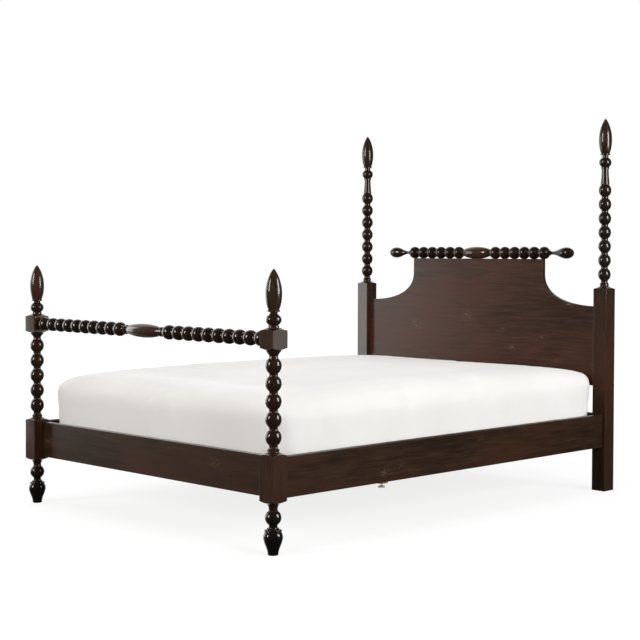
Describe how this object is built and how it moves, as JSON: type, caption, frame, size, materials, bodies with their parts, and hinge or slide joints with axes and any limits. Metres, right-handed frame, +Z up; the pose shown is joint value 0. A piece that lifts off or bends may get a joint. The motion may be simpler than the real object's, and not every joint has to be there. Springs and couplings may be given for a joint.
{
  "type": "four-poster bed",
  "caption": "Dark four-poster bed with spool-turned posts and finials, a shaped headboard panel under a turned roll, a turned foot rail and a mattress.",
  "frame": {"origin": "on the floor under the middle of the bed's bounding box", "axes": "+Y runs from the foot to the head, +X to the right seen from the foot, +Z up"},
  "size_m": [1.685, 2.175, 1.7848],
  "materials": {
    "espresso_wood": "dark espresso stain under gloss lacquer",
    "walnut_wood": "dark walnut stain under satin lacquer",
    "plain_wood": "planed, unfinished",
    "zinc_steel": "zinc plated",
    "foot_plastic": "matt moulded",
    "ticking": "soft knitted cover"
  },
  "bodies": {
    "bed_frame": {"foot_post_left": "espresso_wood", "foot_post_right": "espresso_wood", "foot_finial_left": "walnut_wood", "foot_finial_right": "walnut_wood", "foot_rail": "espresso_wood", "foot_spindle_rail": "espresso_wood", "head_leg_left": "espresso_wood", "head_leg_right": "espresso_wood", "head_post_left": "espresso_wood", "head_post_right": "espresso_wood", "head_finial_left": "walnut_wood", "head_finial_right": "walnut_wood", "head_rail": "espresso_wood", "headboard_panel": "walnut_wood", "headboard_roll": "espresso_wood", "roll_dowels": "plain_wood", "leg_dowels": "plain_wood", "leg_studs": "zinc_steel", "side_rail_left": "espresso_wood", "side_rail_right": "espresso_wood", "side_ledger_left": "plain_wood", "side_ledger_right": "plain_wood", "rail_hook_foot_left": "zinc_steel", "rail_hook_foot_right": "zinc_steel", "rail_hook_head_left": "zinc_steel", "rail_hook_head_right": "zinc_steel", "post_plate_foot_left": "zinc_steel", "post_plate_foot_right": "zinc_steel", "post_plate_head_left": "zinc_steel", "post_plate_head_right": "zinc_steel", "plate_screws": "zinc_steel", "ledger_screws": "zinc_steel", "slat_01": "plain_wood", "slat_02": "plain_wood", "slat_03": "plain_wood", "slat_04": "plain_wood", "slat_05": "plain_wood", "slat_06": "plain_wood", "slat_07": "plain_wood", "slat_08": "plain_wood", "slat_09": "plain_wood", "slat_10": "plain_wood", "slat_11": "plain_wood", "slat_12": "plain_wood", "slat_screws": "zinc_steel", "centre_beam": "plain_wood", "beam_bracket_foot": "zinc_steel", "beam_bracket_head": "zinc_steel", "bracket_screws": "zinc_steel", "centre_leg_foot": "plain_wood", "centre_leg_head": "plain_wood", "centre_leg_studs": "zinc_steel", "leg_inserts": "zinc_steel"},
    "mattress": {"mattress": "ticking"},
    "levelling_foot_foot": {"levelling_foot_foot": "foot_plastic"},
    "levelling_foot_head": {"levelling_foot_head": "foot_plastic"}
  },
  "joints": [
    {"name": "mattress_lift", "type": "slide", "parent": "bed_frame", "child": "mattress", "axis": [0, 0, 1], "range_m": [0, 0.535]},
    {"name": "leveller_foot", "type": "slide", "parent": "bed_frame", "child": "levelling_foot_foot", "axis": [0, 0, 1], "range_m": [0, 0.01]},
    {"name": "leveller_head", "type": "slide", "parent": "bed_frame", "child": "levelling_foot_head", "axis": [0, 0, 1], "range_m": [0, 0.01]}
  ]
}
